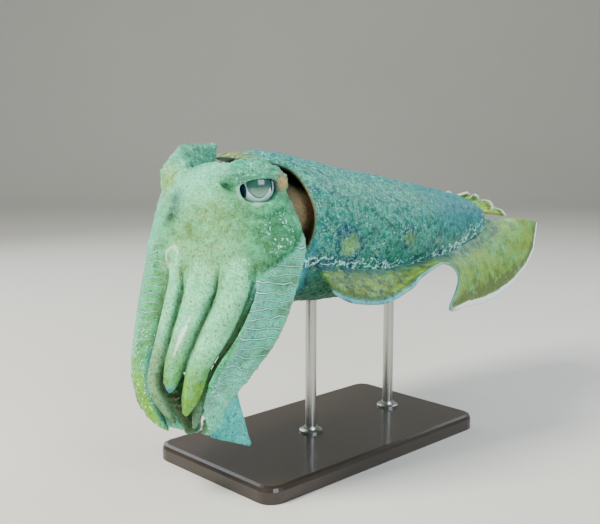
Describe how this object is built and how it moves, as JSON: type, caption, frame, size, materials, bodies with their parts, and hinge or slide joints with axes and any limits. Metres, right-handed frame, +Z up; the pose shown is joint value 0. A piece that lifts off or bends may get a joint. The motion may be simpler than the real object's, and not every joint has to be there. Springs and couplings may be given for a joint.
{
  "type": "giant australian cuttlefish model",
  "caption": "Life-size giant cuttlefish hovering with arms hanging and fins rippling, on a flat base with short rods.",
  "frame": {"origin": "centre of the underside of the stand's base, on the floor, under the animal's centre of mass", "axes": "+Z up, +Y towards the animal's tail, +X towards the animal's left"},
  "size_m": [0.1996, 0.5219, 0.275],
  "materials": {
    "mantle_skin": "wet satin skin, teal with fine pale wavy lines",
    "head_skin": "wet satin skin, sage green with fine speckle",
    "arm_skin": "wet satin skin, sage to yellow-olive with pale cross marks",
    "fin_skin": "thin satin membrane, golden olive with a pale margin",
    "eye": "clear gloss over a pale iris with a dark W-shaped pupil",
    "stand_base": "black satin lacquer",
    "stand_rod": "brushed"
  },
  "bodies": {
    "root": {"mantle": "mantle_skin", "head": "head_skin", "funnel": "arm_skin", "eye_left": "eye", "eye_right": "eye", "arm_1_left_upper": "arm_skin", "arm_1_left_lower": "arm_skin", "arm_1_right_upper": "arm_skin", "arm_1_right_lower": "arm_skin", "arm_2_left_upper": "arm_skin", "arm_2_left_lower": "arm_skin", "arm_2_right_upper": "arm_skin", "arm_2_right_lower": "arm_skin", "arm_3_left_upper": "arm_skin", "arm_3_left_lower": "arm_skin", "arm_3_right_upper": "arm_skin", "arm_3_right_lower": "arm_skin", "arm_4_left_upper": "arm_skin", "arm_4_left_lower": "arm_skin", "arm_4_right_upper": "arm_skin", "arm_4_right_lower": "arm_skin", "fin_left_front": "fin_skin", "fin_left_middle": "fin_skin", "fin_left_rear": "fin_skin", "fin_right_front": "fin_skin", "fin_right_middle": "fin_skin", "fin_right_rear": "fin_skin", "stand_base": "stand_base", "stand_rod_front": "stand_rod", "stand_rod_rear": "stand_rod"}
  },
  "joints": []
}
